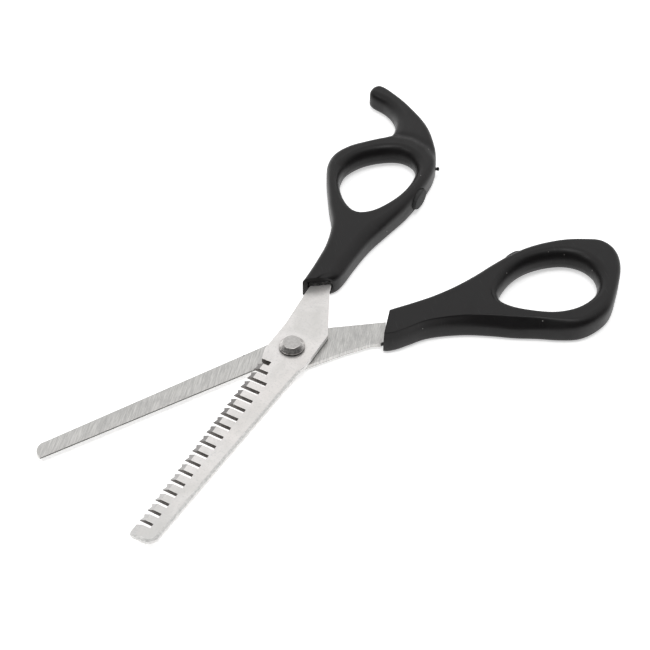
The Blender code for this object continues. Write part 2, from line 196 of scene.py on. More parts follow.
def carve(piece, cutters):
    """Takes the cutters' shapes out of a piece, keeps the result as its mesh and removes the cutters."""
    for cutter in cutters:
        modifier = piece.modifiers.new("carve", "BOOLEAN")
        modifier.operation = "DIFFERENCE"
        modifier.solver = "EXACT"
        modifier.object = cutter
    bpy.context.view_layer.update()
    result = bpy.data.meshes.new_from_object(piece.evaluated_get(bpy.context.evaluated_depsgraph_get()))
    piece.modifiers.clear()
    piece.data = result
    for cutter in cutters:
        bpy.data.objects.remove(cutter, do_unlink=True)


def block(name, outline, bottom, top, side):
    """A flat outline raised from one height to another, as two rows of points and two caps."""
    outline = np.asarray(outline, float)
    count = len(outline)
    rows = [np.column_stack([outline, np.full(count, height)]) for height in (bottom, top)]
    faces = grid_faces(2, count, True).tolist() + [list(range(count))[::-1], list(range(count, 2 * count))]
    return mesh_piece(name, np.vstack(rows), faces, side)


def plug(name, place, outwards, half_size, power, profile, bumps, side):
    """A stopper pressed into a hole. Its section is the superellipse |a|^power + |b|^power = 1, with a along
    the face and b upwards. Rows follow the profile of (depth, scale) points from the back to the middle of
    the face, and the face, where the scale falls, is lifted by sine-wave bumps of (height, size)."""
    columns = 72
    angles = np.linspace(0, 2 * math.pi, columns, endpoint=False)
    out = np.array([math.cos(outwards), math.sin(outwards), 0.0])
    along = np.array([-out[1], out[0], 0.0])
    a = np.sign(np.cos(angles)) * np.abs(np.cos(angles)) ** (2 / power) * half_size[0]
    b = np.sign(np.sin(angles)) * np.abs(np.sin(angles)) ** (2 / power) * half_size[1]
    profile = np.asarray(profile, float)
    depth = profile[:, 0][:, None]
    scale = profile[:, 1][:, None]
    points = depth[..., None] * out + (a * scale)[..., None] * along + (b * scale)[..., None] * [0, 0, 1]
    on_face = (np.arange(len(profile)) > profile[:, 1].argmax()) & (profile[:, 0] > profile[:, 0].mean())
    points += (ripple(points, bumps[1], 5) * on_face[:, None])[..., None] * bumps[0] * out
    points = (points + np.asarray(place, float)).reshape(-1, 3)
    faces = grid_faces(len(profile), columns, True).tolist()
    faces.append(list(range(columns))[::-1])
    faces.append(list(range(len(points) - columns, len(points))))
    return mesh_piece(name, points, faces, side)


# Handles -----------------------------------------------------------------------------------------

# The creased section, from its inner corner out: parts of the rim's rows, shares of its inset, and its drops
CREASE_PARTS = [0, 0.125, 0.25, 0.375, 0.5, 0.75, 1]
CREASE_INSETS = [1.0, 0.93, 0.84, 0.70, 0.52, 0.20, 0]
CREASE_DROPS = [0, 0.10, 0.38, 0.9, 1.5, 2.5, 3.5]
LOW_RIM = 1.6               # radius of the rounded lower rim
ROLL_STRETCH = 1.45         # how much deeper than wide the rounding into a finger hole is
ROLL_SHARE = 0.54           # the most of a ring's width that the rounding into its hole may take up
RIM_SHARE = 0.40            # and the most that its outer rim may


class Moulding:
    """A handle as one skin. Columns run round the outer edge, and each is joined to a point of an inner
    line: the finger hole where the handle is a ring, or a seam down the middle where it is a limb. Rows run
    from the hole's wall over the roll, the top, the rim and the outer wall, and back underneath."""

    rim = np.linspace(0, math.pi / 2, 9)       # angles of a rounded rim, from its wall to its flat
    flat = np.linspace(0, 1, 16)[1:-1]         # shares of the way across a flat

    def __init__(self, outer, hole, centre, rolls, edge, crease, top, bottom):
        self.outer = outer          # points round the outside, anticlockwise
        self.hole = hole
        self.centre = np.asarray(centre, float)
        self.rolls = rolls          # (widest roll, narrowest roll, direction of the narrowest in degrees)
        self.edge = edge            # columns to (width, height) of the outer rim's rounding
        self.crease = crease        # columns to (share of the creased section, distance in from the edge)
        self.top = top              # height of the top at plan points
        self.bottom = bottom
        self.points = []
        self.faces = []
        samples = 400
        places = np.linspace(0, len(hole), samples)
        self.hole_line = through(hole, places)
        self.outer_line = through(outer, np.linspace(0, len(outer), 2 * samples))
        self.hole_angles = np.unwrap(self.angles(self.hole_line))
        self.hole_places = places

    def angles(self, points):
        offset = points - self.centre
        return np.arctan2(offset[:, 1], offset[:, 0])

    def hole_place(self, angle):
        """Place on the hole's curve at an angle round its centre."""
        first = self.hole_angles[0]
        turns = np.floor((angle - first) / (2 * math.pi))
        inside = angle - turns * 2 * math.pi
        return np.interp(inside, self.hole_angles, self.hole_places) + turns * len(self.hole)

    def roll(self, places):
        """Width of the rounding into the hole: it eases from the widest to the narrowest with the cosine of
        the angle from the narrowest's direction, and takes up no more than its share of the ring."""
        wide, narrow, direction = self.rolls
        wall = through(self.hole, places)
        turned = self.angles(wall) - math.radians(direction)
        width = wide + (narrow - wide) * eased(np.cos(turned), -0.4, 0.9)
        return np.minimum(width, ROLL_SHARE * apart(wall, self.outer_line))

    def fork(self, angle):
        """Where a limb's seam leaves the hole's roll, at an angle in degrees."""
        place = np.array([self.hole_place(math.radians(angle))])
        return (through(self.hole, place) - inward(self.hole, place) * self.roll(place)[:, None])[0]

    def rows(self, places, inner, hole_places):
        """The skin over one stretch of columns. A limb gives inner, its seam's points, and a ring gives
        places on the hole's curve; the other is None."""
        outline = through(self.outer, places)
        normal = inward(self.outer, places)
        edge_width, edge_height = self.edge(places)
        creased, crease_in = self.crease(places)
        rows = []

        def add(plan, height):
            rows.append(np.column_stack([plan, height]))

        def rounded(angle, size=1.0):
            """Inset and drop on a quarter circle, 0 at its wall and a right angle at its flat."""
            return size * (1 - math.cos(angle)), size * (1 - math.sin(angle))

        if hole_places is not None:
            wall = through(self.hole, hole_places)
            away = -inward(self.hole, hole_places)
            width = self.roll(hole_places)
            edge_width = np.minimum(edge_width, RIM_SHARE * apart(outline, self.hole_line))
            inner = wall + away * width[:, None]
            for angle in self.rim:
                inset, drop = rounded(angle)
                plan = wall + away * (inset * width)[:, None]
                add(plan, self.top(plan) - drop * width * ROLL_STRETCH)
        else:
            add(inner, self.top(inner))
        rim_inset = edge_width * (1 - creased) + crease_in * creased
        rim_start = outline + normal * rim_inset[:, None]
        for share in self.flat:
            plan = inner * (1 - share) + rim_start * share
            add(plan, self.top(plan))
        for n, angle in enumerate(self.rim[::-1]):
            inset, drop = rounded(angle)
            # The creased section has a small round corner, a steep slope out from it, and the wall.
            part = n / (len(self.rim) - 1)
            inset_creased = crease_in * np.interp(part, CREASE_PARTS, CREASE_INSETS)
            drop_creased = np.interp(part, CREASE_PARTS, CREASE_DROPS)
            inset = inset * edge_width * (1 - creased) + inset_creased * creased
            drop = drop * edge_height * (1 - creased) + drop_creased * creased
            plan = outline + normal * inset[:, None]
            add(plan, self.top(plan) - drop)
        for angle in self.rim[::2]:
            inset, drop = rounded(angle, LOW_RIM)
            plan = outline + normal * inset
            add(plan, self.bottom(plan) + drop)
        for share in self.flat[::3]:
            plan = (outline + normal * LOW_RIM) * (1 - share) + inner * share
            add(plan, self.bottom(plan))
        add(inner, self.bottom(inner))
        if hole_places is not None:
            for angle in self.rim[::-2][1:]:
                inset, drop = rounded(angle)
                plan = wall + away * (inset * width)[:, None]
                add(plan, self.bottom(plan) + drop * width)
        first = sum(len(p) for p in self.points)
        self.faces += grid_faces(len(rows), len(places), False, hole_places is not None, first).tolist()
        self.points.append(np.vstack(rows))

    def ring(self, start, end, angle_start, angle_end, count, between=()):
        """Columns between two places on the outer edge, facing the hole between two angles in degrees. The
        angles in between follow the outer edge's own, or the (place, angle) pairs given."""
        places = np.linspace(start, end, count)
        if between:
            angle = np.interp(places, *zip((start, angle_start), *between, (end, angle_end)))
        else:
            seen = np.unwrap(self.angles(through(self.outer, places)))
            angle = angle_start + (seen - seen[0]) / (seen[-1] - seen[0]) * (angle_end - angle_start)
        self.rows(places, None, self.hole_place(np.radians(angle)))

    def limb(self, start, end, seam, stations, count):
        """Columns round a limb: stations are (place on the outer edge, place on the seam) pairs."""
        places = np.linspace(start, end, count)
        at = np.interp(places, *zip(*stations))
        self.rows(places, through(seam, at, closed=False), None)

    def piece(self, name, side):
        return mesh_piece(name, np.vstack(self.points), self.faces, side)


def saw_off(piece, point, direction, side):
    """Cuts a piece with an upright plane through the point, along the direction in degrees, and closes the
    cut; what lies to the right of the direction goes."""
    turn = SIDE_ANGLE * SIDES[side] + math.radians(direction)
    place = settle(np.array([[*point, 0.0]]), side)[0]
    bm = bmesh.new()
    bm.from_mesh(piece.data)
    cut = bmesh.ops.bisect_plane(
        bm, geom=bm.verts[:] + bm.edges[:] + bm.faces[:], plane_co=place,
        plane_no=(math.sin(turn), -math.cos(turn), 0), clear_outer=True, dist=1e-7,
    )
    edges = [e for e in cut["geom_cut"] if isinstance(e, bmesh.types.BMEdge)]
    bmesh.ops.contextual_create(bm, geom=edges)
    bmesh.ops.recalc_face_normals(bm, faces=bm.faces)
    bm.to_mesh(piece.data)
    bm.free()


def beside_mouth(point, direction, corners):
    """Plan points from (distance along the end face, distance out of it) pairs."""
    turn = math.radians(direction)
    along = np.array([math.cos(turn), math.sin(turn)])
    out = np.array([math.sin(turn), -math.cos(turn)])
    return [tuple(np.asarray(point) + along * a + out * b) for a, b in corners]


FINGER_MOUTH = ((-9.3, 23.2), 34.9)
THUMB_MOUTH = ((4.63, 30.27), -42.8)
FINGER_RIM = [
    (3.6, 80.0), (2.9, 86.0), (0.4, 92.2), (-4.8, 96.4), (-10.5, 97.9), (-16.5, 96.6), (-21.0, 93.6),
]


def finger_handle():
    """The toothed blade's handle, with the finger rest running off its ring."""
    outer = [
        (-0.6, 33.0), (-0.7, 41.0), (-0.3, 50.0), (1.4, 60.0), (2.8, 68.0), (3.3, 76.0), (3.2, 83.0),
        (2.6, 88.5), (1.2, 93.0), (-2.5, 99.8), (-9.5, 108.3), (-19.5, 115.2), (-27.2, 119.0),
        (-32.2, 120.5), (-34.4, 119.0), (-34.5, 116.1), (-32.8, 114.3), (-27.4, 112.8), (-22.9, 110.0),
        (-20.0, 106.5), (-18.4, 102.3), (-18.2, 99.2), (-19.0, 96.8), (-20.6, 94.6), (-23.0, 92.0),
        (-27.0, 87.2), (-29.4, 82.0), (-29.4, 77.0), (-27.1, 71.2), (-20.1, 59.7), (-14.4, 51.0),
        (-11.3, 42.0), (-10.1, 34.0), (-9.4, 26.0), (-9.0, 18.0), (-6.5, 19.5), (-3.4, 26.0), (-1.2, 29.3),
    ]
    hole = [
        (-9.8, 59.1), (-6.2, 61.6), (-3.6, 66.6), (-1.9, 72.5), (-1.6, 79.0), (-2.8, 86.0),
        (-6.0, 90.4), (-11.0, 91.6), (-16.5, 88.6), (-20.9, 83.5), (-23.0, 77.0), (-21.9, 70.4),
        (-18.2, 64.8), (-14.0, 60.8),
    ]
    rest_step = 0.4             # how far the rest lies in from the ring's top and bottom
    valley_depth, valley_middle, valley_width = 0.32, 1.9, 1.3     # the hollow between the ring and the rest

    def past_ring(plan):
        return eased(plan[:, 1], 84, 90)

    def on_rest(plan):
        return eased(beyond(plan, FINGER_RIM), -0.8, 2.6) * past_ring(plan)

    def top(plan):
        """Level over the ring, a step down to the rest, and a bell-shaped valley between them."""
        off_middle = (beyond(plan, FINGER_RIM) - valley_middle) / valley_width
        valley = valley_depth * np.exp(-off_middle ** 2) * past_ring(plan)
        return HANDLE_TOP - rest_step * on_rest(plan) - valley

    def bottom(plan):
        return rest_step * on_rest(plan)

    def edge(places):
        """A broad round on the side that faces the other handle, and on the rest's hollow."""
        knots = [0, 3, 5.5, 7.5, 9, 12.5, 15, 17, 20.5, 23, 26, 29, 33, 35, 38]
        widths = [3.6, 3.8, 2.8, 1.8, 1.5, 1.5, 1.8, 2.8, 3.4, 2.2, 2.4, 1.8, 1.5, 1.5, 3.6]
        heights = [2.6, 2.8, 2.6, 1.8, 1.5, 1.5, 1.8, 3.4, 3.8, 2.8, 3.4, 2.2, 1.5, 1.5, 2.6]
        return np.interp(places % 38, knots, widths), np.interp(places % 38, knots, heights)

    def crease(places):
        return np.zeros(len(places)), np.zeros(len(places))

    skin = Moulding(outer, hole, (-12.3, 75.5), (3.0, 2.0, -62.0), edge, crease, top, bottom)
    low, high = -81.0, 73.0
    stem = [skin.fork(low), (-8.6, 50.0), (-6.6, 42.0), (-5.6, 34.0), (-5.3, 26.0), (-6.6, 21.0)]
    rest = [skin.fork(high), (-8.9, 98.0), (-13.3, 104.6), (-19.3, 111.0), (-25.5, 115.3), (-31.3, 117.1)]
    skin.ring(2.5, 7.9, low, high, 90, [(3, -62), (4, -36), (5, 3), (6, 34), (7, 50)])
    skin.limb(7.9, 21.2, rest, [(7.9, 0), (8.5, 0.6), (9, 1.1), (10, 2.1), (11, 3.2), (12, 4.2), (12.8, 5),
                                (16.2, 5), (17, 4.4), (18, 3.5), (19, 2.5), (20, 1.4), (20.6, 0.7),
                                (21.2, 0)], 180)
    skin.ring(21.2, 29.5, high, low + 360, 120,
              [(21.5, 78), (21.9, 84), (22.3, 90), (23, 99), (24, 112), (25, 138), (26, 161), (27, 176),
               (28, 202), (29, 250)])
    skin.limb(29.5, 40.5, stem, [(29.5, 0), (30, 0.5), (31, 2.0), (32, 3.0), (33, 4.0), (34, 5), (35, 5),
                                 (36, 4.0), (37, 3.6), (38, 3.1), (39, 2.1), (40, 1.0), (40.5, 0)], 120)
    handle = skin.piece("finger_handle_moulding", "thinning_side")
    saw_off(handle, *FINGER_MOUTH, "thinning_side")
    return handle


def thumb_handle():
    """The plain blade's handle, whose outer side has a crease from the mouth to the loop."""
    outer = [
        (14.4, 31.0), (14.9, 36.0), (16.7, 41.2), (19.9, 47.4), (24.1, 53.3), (28.1, 58.3),
        (32.0, 64.0), (35.8, 69.1), (38.4, 74.1), (38.7, 79.8), (36.8, 86.2), (31.9, 92.5),
        (26.0, 98.7), (20.9, 102.1), (16.4, 103.1), (12.4, 101.9), (9.5, 98.3), (6.6, 93.2),
        (4.6, 87.4), (3.4, 81.0), (3.3, 74.5), (4.1, 67.0), (5.2, 60.0), (5.9, 52.0), (5.8, 44.5),
        (5.0, 37.5), (4.1, 31.5), (3.6, 26.5), (5.6, 23.8), (9.6, 21.6), (12.6, 23.4), (13.9, 26.6),
    ]
    hole = [
        (18.0, 60.9), (21.8, 62.6), (25.9, 66.4), (29.4, 71.0), (31.2, 75.8), (31.4, 80.6),
        (29.8, 85.8), (26.2, 90.0), (21.4, 92.2), (16.4, 91.8), (12.4, 88.8), (9.9, 83.8), (8.8, 77.6),
        (9.6, 71.4), (12.0, 65.6), (14.8, 62.0),
    ]

    def top(plan):
        return np.full(len(plan), HANDLE_TOP)

    def bottom(plan):
        return np.zeros(len(plan))

    def edge(places):
        knots = [0, 4, 7, 9.5, 12, 28, 32]
        width = np.interp(places % 32, knots, [1.8, 2.2, 2.6, 2.6, 1.6, 1.5, 1.8])
        return width, width

    def crease(places):
        """Full from the mouth to the loop's far side, and then faded out."""
        around = (places + 4) % 32          # counted from just before the mouth's corner
        share = np.interp(around, [0, 1.5, 9, 12.5, 31, 32], [0, 1, 1, 0, 0, 0])
        inset = np.interp(around, [0, 4, 6, 7.5, 9.5, 11, 13], [0.8, 1.0, 1.5, 2.2, 2.8, 2.7, 2.2])
        return share, inset

    skin = Moulding(outer, hole, (20.0, 76.5), (3.0, 1.8, -32.0), edge, crease, top, bottom)
    low = -112.0
    stem = [skin.fork(low), (13.4, 52.0), (11.2, 44.0), (9.8, 36.0), (9.0, 29.0), (8.3, 23.5)]
    skin.ring(4.0, 22.6, low, low + 360, 250)
    skin.limb(22.6, 36.0, stem, [(22.6, 0), (23, 0.8), (24, 1.9), (25, 2.8), (26, 3.6), (27, 4.4),
                                 (28, 5), (30, 5), (31, 4.3), (32, 3.7), (33, 3.0), (34, 2.3), (35, 1.3),
                                 (36, 0)], 150)
    handle = skin.piece("thumb_handle_moulding", "cutting_side")
    saw_off(handle, *THUMB_MOUTH, "cutting_side")
    return handle


# Blades ------------------------------------------------------------------------------------------

BLADE_THICKNESS = THINNING_TOP - THINNING_BOTTOM
BORE_RADIUS = 2.3
SLOT_COUNT = 18
SLOT_PITCH = 3.78
SLOT_WIDTH = 1.5
FIRST_SLOT = -8.65
SLOT_TILT = math.radians(1.3)
SHORT_ROOTS = (-2.3, -1.0)  # X of the first two slots' roots, which are cut short
ROOT_RANGE = (0.75, -0.5)   # X of the third slot's root and of the last one's
FIRST_MOUTH = -5.4          # X where the first slot starts, as the blade is narrower there
TOOTH_RANGE = (-6.0, -4.9)  # X of the teeth's ends at the first slot and at the last
TOOTH_BEVEL = 2.0
TOOTH_LAND = 0.35
NOTCH_DEPTH = 0.65
SPINE_CHAMFER = 0.7
SPINE_DROP = 0.5


def slot_root(index):
    """How far across the blade a slot reaches."""
    if index < len(SHORT_ROOTS):
        return SHORT_ROOTS[index]
    return float(np.interp(index, [len(SHORT_ROOTS), SLOT_COUNT - 1], ROOT_RANGE))


def tooth_end(y):
    """X of the line through the teeth's ends."""
    start, end = TOOTH_RANGE
    return start + (end - start) * (FIRST_SLOT - y) / (SLOT_PITCH * (SLOT_COUNT - 1))


def plate(name, outline, heights, facets, side, inside, caps):
    """A stamped plate with a pivot hole: two rows of points up its wall, each cap a flat polygon with the
    hole, and ground facets as polygons of their own. heights are two functions from plan points to the lower
    and the upper row's height. facets lists (row, corner numbers). inside is a row and its points within the
    outline, which are numbered after it, and caps holds each flat cap's corner numbers."""
    outline = np.asarray(outline, float)
    hole = np.asarray(arc((0, 0), BORE_RADIUS, 360, 0, 64)[:-1])
    mesh = bpy.data.meshes.new(name)
    bm = bmesh.new()
    rims = []
    for loop in (outline, hole):
        low, high = [
            [bm.verts.new(p) for p in settle(np.column_stack([loop, height(loop)]), side)]
            for height in heights
        ]
        rims.append([low, high])
        for i in range(len(loop)):
            j = (i + 1) % len(loop)
            bm.faces.new((low[i], low[j], high[j], high[i]))
    row, points = inside
    rims[0][row] += [bm.verts.new(p) for p in settle(np.asarray(points, float), side)]
    for row, corners in facets:
        bm.faces.new([rims[0][row][i] for i in corners])
    for row in (0, 1):
        edges = []
        for loop in ([rims[0][row][i] for i in caps[row]], rims[1][row]):
            for i in range(len(loop)):
                pair = (loop[i], loop[(i + 1) % len(loop)])
                edges.append(bm.edges.get(pair) or bm.edges.new(pair))
        bmesh.ops.triangle_fill(bm, use_beauty=True, edges=edges)
    bmesh.ops.recalc_face_normals(bm, faces=bm.faces)
    bm.to_mesh(mesh)
    bm.free()
    return placed(name, mesh)


def thinning_blade():
    """The toothed blade. Each tooth has a notched end and a ground face that falls to a thin land, and a
    chamfer runs from the tip's corner up the spine."""
    outline = [(-6.4, 8.0), (-6.6, -4.2)]
    facets = []
    half = SLOT_WIDTH / 2
    fall = (BLADE_THICKNESS - TOOTH_LAND) / TOOTH_BEVEL

    def wall(y, root):
        """Mouth, start of the ground face and root on one wall of a slot."""
        mouth = tooth_end(y)
        lean = math.tan(SLOT_TILT)
        return [(x, y - (x - mouth) * lean) for x in (mouth, mouth + TOOTH_BEVEL, root)]

    for index in range(SLOT_COUNT):
        middle = FIRST_SLOT - SLOT_PITCH * index
        root = slot_root(index)
        top_wall = [(x, middle + half) for x in (FIRST_MOUTH, root)]
        outline += wall(middle + half, root) if index else top_wall
        outline += wall(middle - half, root)[::-1]
        if index < SLOT_COUNT - 1:
            first = len(outline) - 2
            centre = middle - SLOT_PITCH / 2
            outline.append((tooth_end(centre) + NOTCH_DEPTH, centre))
            facets.append((1, list(range(first, first + 5))))
    toothless = len(outline) - 2
    end = -77.8
    break_x = tooth_end(end) + TOOTH_BEVEL
    outline += [(-5.0, -76.4), (-4.4, -77.5)]
    spine = [(break_x - SPINE_DROP / fall, end), (-0.5, end)]
    spine += arc((-0.3, -74.7), 3.1, -80, -8, 10) + [(6.4, -8.0)]
    first = len(outline)
    outline += spine
    last = len(outline) - 1
    outline += [(6.8, -5.0), (6.8, 9.2), (5.2, 12.2), (0.0, 22.5), (-2.0, 26.6)]
    outline += [(-3.0, 30.0), (-3.4, 42.0), (-6.8, 42.0), (-7.6, 23.5)]

    # The chamfer's inner edge, on the flat, and the quads down from it
    path = np.array(spine)
    along = np.gradient(path, axis=0)
    along /= np.linalg.norm(along, axis=1, keepdims=True)
    flat = path + np.column_stack([-along[:, 1], along[:, 0]]) * SPINE_CHAMFER
    flat[0] = break_x, end + SPINE_CHAMFER
    inner = list(range(len(outline), len(outline) + len(spine)))
    facets += [(1, [first + k, first + k + 1, inner[k + 1], inner[k]]) for k in range(len(spine) - 1)]
    facets.append((1, [last, last + 1, inner[-1]]))
    facets.append((1, list(range(toothless, first + 1)) + [inner[0]]))
    hidden = {number for _, corners in facets[:SLOT_COUNT - 1] for number in corners[1:-1]}
    top = [i for i in range(toothless + 1) if i not in hidden] + inner + list(range(last + 1, len(outline)))

    def upper(plan):
        in_from_end = plan[:, 0] - tooth_end(plan[:, 1])
        ground = THINNING_BOTTOM + TOOTH_LAND + fall * in_from_end
        height = np.where(plan[:, 1] < FIRST_SLOT, np.minimum(ground, THINNING_TOP), THINNING_TOP)
        if len(plan) == len(outline):
            height[first:last + 1] = THINNING_TOP - SPINE_DROP
        return height

    def lower(plan):
        return np.full(len(plan), THINNING_BOTTOM)

    return plate("thinning_blade_finish", outline, (lower, upper), facets, "thinning_side",
                 (1, np.column_stack([flat, np.full(len(flat), THINNING_TOP)])),
                 (list(range(len(outline))), top))


def cutting_blade():
    """The plain blade, ground underneath along its cutting edge."""
    edge_start, edge_end = (0.5, -12.5), (-1.5, -78.0)
    bevel, land = 1.6, 0.5
    ground_start = (edge_start[0] - bevel, edge_start[1] + 0.4)
    outline = [(-6.1, -74.4)] + arc((-2.9, -74.8), 3.3, 190, 262, 10)
    inner = len(outline)
    outline += [(edge_end[0] - bevel, -78.03), edge_end, edge_start, (1.4, -11.0), (6.6, -6.0), (7.0, 1.0)]
    outline += [(7.3, 5.0), (8.0, 12.8), (9.3, 20.8), (10.5, 23.5), (10.7, 28.0), (10.3, 46.0), (6.4, 46.0)]
    outline += [(5.8, 32.0), (5.5, 28.2), (4.1, 29.45), (-2.7, 14.0), (-5.9, 7.0), (-6.1, 4.0)]

    def lower(plan):
        number = np.arange(len(plan))
        on_edge = (len(plan) == len(outline)) & ((number == inner + 1) | (number == inner + 2))
        return np.where(on_edge, CUTTING_TOP - land, CUTTING_BOTTOM)

    def upper(plan):
        return np.full(len(plan), CUTTING_TOP)

    spare = len(outline)
    facets = [(0, [inner, inner + 1, inner + 2, spare]), (0, [spare, inner + 2, inner + 3])]
    low_cap = list(range(inner + 1)) + [spare] + list(range(inner + 3, spare))
    return plate("cutting_blade_finish", outline, (lower, upper), facets, "cutting_side",
                 (0, [(*ground_start, CUTTING_BOTTOM)]), (low_cap, list(range(spare))))


# Turned pieces -----------------------------------------------------------------------------------

def turned(name, profile, corner, side):
    """A profile of (radius, height) points spun about the pivot. Each corner is rounded by a quadratic arc
    that starts and ends a set length from it, and is read at five places."""
    profile = np.asarray(profile, float)
    closed = profile[0, 0] > 0
    rounded = []
    for i, point in enumerate(profile):
        at_axis = not closed and i in (0, len(profile) - 1)
        if at_axis:
            rounded.append(point)
            continue
        before, after = profile[i - 1] - point, profile[(i + 1) % len(profile)] - point
        start = point + before * min(corner / np.linalg.norm(before), 0.45)
        end = point + after * min(corner / np.linalg.norm(after), 0.45)
        t = np.linspace(0, 1, 5)[:, None]
        rounded += list((1 - t) ** 2 * start + 2 * t * (1 - t) * point + t ** 2 * end)
    rounded = np.array(rounded)
    columns = 128
    angles = np.linspace(0, 2 * math.pi, columns, endpoint=False)
    radius, height = rounded[:, 0][:, None], rounded[:, 1][:, None]
    points = np.stack(np.broadcast_arrays(radius * np.cos(angles), radius * np.sin(angles), height), -1)
    faces = grid_faces(len(rounded), columns, True, closed)
    return mesh_piece(name, points.reshape(-1, 3), faces.tolist(), side)


def pivot_rivet():
    head = WASHER_TOP + 0.15
    return turned("pivot_rivet_finish", [
        (0, 0), (2.9, 0), (2.9, 0.6), (2.2, 0.6), (2.2, head), (3.75, head), (3.75, head + 0.3),
        (2.62, HEAD_TOP - 0.05), (2.35, HEAD_TOP), (0, HEAD_TOP),
    ], 0.09, "cutting_side")


def rivet_washer():
    return turned("rivet_washer_finish", [
        (2.35, WASHER_BOTTOM), (3.7, WASHER_BOTTOM), (3.7, WASHER_TOP), (2.35, WASHER_TOP),
    ], 0.04, "cutting_side")


# Stops, adhesive and sockets ---------------------------------------------------------------------

BUMPER_HALF = (4.0, 2.8)
BUMPER_PLACE = {"finger": (4.25, 76.2, 3.8), "thumb": (2.42, 76.2, 3.8)}
BUMPER_TILT = math.radians(0.75)
SEAT_GAP = 0.28
SOCKET_GAP = 0.3
RESIN_RECESS = 0.1


def bumper(which, side):
    """An oval rubber stop with a slightly crowned, rough face, and the seat that it sits in."""
    turn = -BUMPER_TILT if which == "finger" else math.pi + BUMPER_TILT
    profile = [(-2.0, 0.5), (-2.0, 1.0), (-0.45, 1.0), (-0.28, 0.985), (-0.15, 0.955)]
    profile += [(-0.13 * s ** 2, 0.93 * s) for s in np.linspace(1, 0.02, 26)]
    place = BUMPER_PLACE[which]
    stop = plug(which + "_bumper_finish", place, turn, BUMPER_HALF, 2.0, profile, (0.035, 1.1), side)
    seat_profile = [(-2.3, 0.5), (-2.3, 1.0), (1.0, 1.0), (1.0, 0.5)]
    seat_half = [size + SEAT_GAP for size in BUMPER_HALF]
    return stop, plug(which + "_seat", place, turn, seat_half, 2.0, seat_profile, (0.0, 1.0), side)


def resin(which, mouth, tang_top, first, last, height, side):
    """Adhesive that has set unevenly in the socket above the tang, and the pocket that it fills."""
    point, direction = mouth
    middle = beside_mouth(point, direction, [((first + last) / 2, -RESIN_RECESS)])[0]
    half = ((last - first) / 2, height / 2)
    profile = [(-2.4, 0.5), (-2.4, 1.0), (-0.35, 1.0), (-0.2, 0.97)]
    profile += [(-0.08 * s ** 2, 0.94 * s) for s in np.linspace(1, 0.02, 30)]
    glue = plug(which + "_tang_resin_finish", (*middle, tang_top + 0.06 + height / 2),
                math.radians(direction - 90), half, 5.0, profile, (0.20, 1.5), side)
    corners = [(first - 0.1, -2.7), (last + 0.1, -2.7), (last + 0.1, 1.0), (first - 0.1, 1.0)]
    pocket = block(which + "_pocket", beside_mouth(point, direction, corners), tang_top - 0.05,
                   tang_top + height + 0.3, side)
    return glue, pocket


def moulding_gate():
    """The broken stub of plastic that the mould left on the finger handle's rim."""
    profile = [(-1.2, 1.0), (0.1, 0.85), (0.45, 0.8), (0.6, 1.15)]
    profile += [(0.95, 1.0), (1.05, 0.7), (0.8, 0.4), (0.7, 0.05)]
    return plug("moulding_gate", (1.5, 92.4, 3.7), math.radians(28), (0.62, 0.5), 2.4, profile, (0.22, 0.8),
                "thinning_side")


# Finishes ----------------------------------------------------------------------------------------

class Signal:
    """A number that varies over a surface. Python's operators on it add Math nodes."""

    def __init__(self, finish, socket):
        self.finish = finish
        self.socket = socket

    def maths(self, operation, *values):
        return self.finish.node("ShaderNodeMath", {"operation": operation}, dict(enumerate(values)))[0]

    def __add__(self, other):
        return self.maths("ADD", self, other)

    def __sub__(self, other):
        return self.maths("SUBTRACT", self, other)

    def __mul__(self, other):
        return self.maths("MULTIPLY", self, other)

    __radd__ = __add__
    __rmul__ = __mul__

    def fade(self, low, high):
        """0 below low and 1 above high, smooth between; low may be the larger."""
        values = {0: self, 1: low, 2: high, 3: 0.0, 4: 1.0}
        return self.finish.node("ShaderNodeMapRange", {"interpolation_type": "SMOOTHSTEP"}, values)[0]


